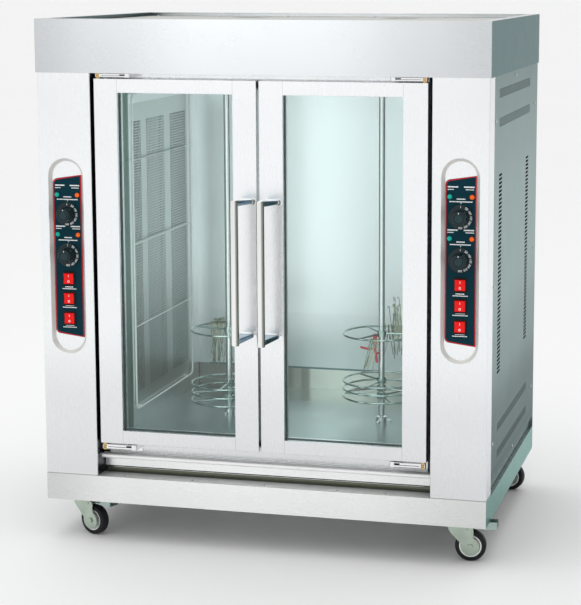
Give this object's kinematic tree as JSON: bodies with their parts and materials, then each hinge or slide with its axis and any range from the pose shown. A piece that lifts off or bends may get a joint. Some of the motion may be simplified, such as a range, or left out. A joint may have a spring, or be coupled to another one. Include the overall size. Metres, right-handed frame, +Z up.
{
  "type": "electric chicken rotisserie",
  "caption": "Upright two-door electric rotisserie cabinet with motor-driven spits, side heaters, glazed doors, control panels, a drip tray and swivel casters.",
  "frame": {"origin": "centre of the whole object's box, on the floor under the casters", "axes": "+Z up, the doors face -Y, +X to the right of a person facing the doors"},
  "size_m": [1.121, 0.8815, 1.282],
  "materials": {
    "front_stainless": "satin",
    "side_stainless": "satin",
    "header_stainless": "satin",
    "frame_steel": "satin",
    "liner_stainless": "bright",
    "chrome": "polished",
    "glass": "clear",
    "gasket": "matte",
    "quartz": "milky",
    "insulation": "matte",
    "motor": "semi-gloss",
    "zinc": "zinc plated",
    "wire": "polished",
    "overlay": "gloss",
    "lamp": "translucent",
    "thermostat": "matte",
    "black_plastic": "satin",
    "red_plastic": "gloss",
    "knob": "satin",
    "tyre": "matte",
    "screw": "bright"
  },
  "bodies": {
    "cabinet": {"welded_frame": "frame_steel", "base_band": "front_stainless", "side_panel_left": "side_stainless", "side_panel_right": "side_stainless", "rear_panel": "side_stainless", "header_band": "header_stainless", "top_cover": "side_stainless", "front_post_left": "front_stainless", "front_post_right": "front_stainless", "door_surround": "front_stainless", "door_gasket": "gasket", "cavity_liner": "liner_stainless", "cavity_floor": "liner_stainless", "cavity_ceiling": "liner_stainless", "heater_reflectors": "liner_stainless", "heating_elements": "quartz", "heater_guards": "wire", "insulation_slabs": "insulation", "gear_motors": "motor", "spindle_bearings": "chrome", "control_overlays": "overlay", "indicator_lamps": "lamp", "thermostats": "thermostat", "switch_housings": "black_plastic", "terminal_blocks": "thermostat", "cable_gland": "black_plastic", "hinge_brackets": "chrome", "caster_plates": "zinc", "panel_screws": "screw"},
    "door_left": {"door_frame_left": "front_stainless", "door_glass_left": "glass", "door_handle_left": "chrome"},
    "door_right": {"door_frame_right": "front_stainless", "door_glass_right": "glass", "door_handle_right": "chrome"},
    "tray": {"drip_tray": "front_stainless"},
    "spit_left": {"spindle_left": "wire", "basket_rings_left": "wire"},
    "spit_right": {"spindle_right": "wire", "basket_rings_right": "wire"},
    "knob_left_upper": {"knob_left_upper": "knob"},
    "knob_left_lower": {"knob_left_lower": "knob"},
    "rocker_left_1": {"rocker_left_1": "red_plastic"},
    "rocker_left_2": {"rocker_left_2": "red_plastic"},
    "rocker_left_3": {"rocker_left_3": "red_plastic"},
    "knob_right_upper": {"knob_right_upper": "knob"},
    "knob_right_lower": {"knob_right_lower": "knob"},
    "rocker_right_1": {"rocker_right_1": "red_plastic"},
    "rocker_right_2": {"rocker_right_2": "red_plastic"},
    "rocker_right_3": {"rocker_right_3": "red_plastic"},
    "caster_front_left": {"caster_fork_front_left": "zinc"},
    "wheel_front_left": {"caster_wheel_front_left": "tyre"},
    "pedal_front_left": {"brake_pedal_front_left": "zinc"},
    "caster_front_right": {"caster_fork_front_right": "zinc"},
    "wheel_front_right": {"caster_wheel_front_right": "tyre"},
    "pedal_front_right": {"brake_pedal_front_right": "zinc"},
    "caster_rear_left": {"caster_fork_rear_left": "zinc"},
    "wheel_rear_left": {"caster_wheel_rear_left": "tyre"},
    "caster_rear_right": {"caster_fork_rear_right": "zinc"},
    "wheel_rear_right": {"caster_wheel_rear_right": "tyre"}
  },
  "joints": [
    {"name": "door_left_hinge", "type": "hinge", "parent": "cabinet", "child": "door_left", "pos_m": [-0.405, -0.34425, 0.6955], "axis": [0, 0, -1], "range_deg": [0, 115]},
    {"name": "door_right_hinge", "type": "hinge", "parent": "cabinet", "child": "door_right", "pos_m": [0.39, -0.34425, 0.6955], "axis": [0, 0, 1], "range_deg": [0, 115]},
    {"name": "drip_tray_slide", "type": "slide", "parent": "cabinet", "child": "tray", "axis": [0, -1, 0], "range_m": [0, 0.55]},
    {"name": "spit_left_spin", "type": "hinge", "parent": "cabinet", "child": "spit_left", "pos_m": [-0.204, 0.03075, 0.7], "axis": [0, 0, 1], "continuous": true},
    {"name": "spit_right_spin", "type": "hinge", "parent": "cabinet", "child": "spit_right", "pos_m": [0.205, 0.03075, 0.7], "axis": [0, 0, 1], "continuous": true},
    {"name": "knob_left_upper_turn", "type": "hinge", "parent": "cabinet", "child": "knob_left_upper", "pos_m": [-0.4905, -0.35925, 0.812], "axis": [0, 1, 0], "range_deg": [0, 270]},
    {"name": "knob_left_lower_turn", "type": "hinge", "parent": "cabinet", "child": "knob_left_lower", "pos_m": [-0.4905, -0.35925, 0.712], "axis": [0, 1, 0], "range_deg": [0, 270]},
    {"name": "rocker_left_1_tilt", "type": "hinge", "parent": "cabinet", "child": "rocker_left_1", "pos_m": [-0.4905, -0.34025, 0.654], "axis": [1, 0, 0], "range_deg": [-8, 8]},
    {"name": "rocker_left_2_tilt", "type": "hinge", "parent": "cabinet", "child": "rocker_left_2", "pos_m": [-0.4905, -0.34025, 0.605], "axis": [1, 0, 0], "range_deg": [-8, 8]},
    {"name": "rocker_left_3_tilt", "type": "hinge", "parent": "cabinet", "child": "rocker_left_3", "pos_m": [-0.4905, -0.34025, 0.556], "axis": [1, 0, 0], "range_deg": [-8, 8]},
    {"name": "knob_right_upper_turn", "type": "hinge", "parent": "cabinet", "child": "knob_right_upper", "pos_m": [0.4755, -0.35925, 0.834], "axis": [0, 1, 0], "range_deg": [0, 270]},
    {"name": "knob_right_lower_turn", "type": "hinge", "parent": "cabinet", "child": "knob_right_lower", "pos_m": [0.4755, -0.35925, 0.734], "axis": [0, 1, 0], "range_deg": [0, 270]},
    {"name": "rocker_right_1_tilt", "type": "hinge", "parent": "cabinet", "child": "rocker_right_1", "pos_m": [0.4755, -0.34025, 0.676], "axis": [1, 0, 0], "range_deg": [-8, 8]},
    {"name": "rocker_right_2_tilt", "type": "hinge", "parent": "cabinet", "child": "rocker_right_2", "pos_m": [0.4755, -0.34025, 0.627], "axis": [1, 0, 0], "range_deg": [-8, 8]},
    {"name": "rocker_right_3_tilt", "type": "hinge", "parent": "cabinet", "child": "rocker_right_3", "pos_m": [0.4755, -0.34025, 0.578], "axis": [1, 0, 0], "range_deg": [-8, 8]},
    {"name": "caster_front_left_swivel", "type": "hinge", "parent": "cabinet", "child": "caster_front_left", "pos_m": [-0.4825, -0.28625, 0.09], "axis": [0, 0, 1], "continuous": true},
    {"name": "wheel_front_left_roll", "type": "hinge", "parent": "caster_front_left", "child": "wheel_front_left", "pos_m": [-0.45636, -0.29628, 0.0375], "axis": [0.3584, 0.9336, 0], "continuous": true},
    {"name": "brake_front_left_press", "type": "hinge", "parent": "caster_front_left", "child": "pedal_front_left", "pos_m": [-0.4629, -0.29378, 0.0805], "axis": [0.3584, 0.9336, 0], "range_deg": [0, 15]},
    {"name": "caster_front_right_swivel", "type": "hinge", "parent": "cabinet", "child": "caster_front_right", "pos_m": [0.4675, -0.28625, 0.09], "axis": [0, 0, 1], "continuous": true},
    {"name": "wheel_front_right_roll", "type": "hinge", "parent": "caster_front_right", "child": "wheel_front_right", "pos_m": [0.49543, -0.2843, 0.0375], "axis": [-0.0698, 0.9976, 0], "continuous": true},
    {"name": "brake_front_right_press", "type": "hinge", "parent": "caster_front_right", "child": "pedal_front_right", "pos_m": [0.48845, -0.28479, 0.0805], "axis": [-0.0698, 0.9976, 0], "range_deg": [0, 15]},
    {"name": "caster_rear_left_swivel", "type": "hinge", "parent": "cabinet", "child": "caster_rear_left", "pos_m": [-0.4825, 0.34775, 0.09], "axis": [0, 0, 1], "continuous": true},
    {"name": "wheel_rear_left_roll", "type": "hinge", "parent": "caster_rear_left", "child": "wheel_rear_left", "pos_m": [-0.45533, 0.35452, 0.0375], "axis": [-0.2419, 0.9703, 0], "continuous": true},
    {"name": "caster_rear_right_swivel", "type": "hinge", "parent": "cabinet", "child": "caster_rear_right", "pos_m": [0.4675, 0.34775, 0.09], "axis": [0, 0, 1], "continuous": true},
    {"name": "wheel_rear_right_roll", "type": "hinge", "parent": "caster_rear_right", "child": "wheel_rear_right", "pos_m": [0.49507, 0.34289, 0.0375], "axis": [0.1736, 0.9848, 0], "continuous": true}
  ]
}
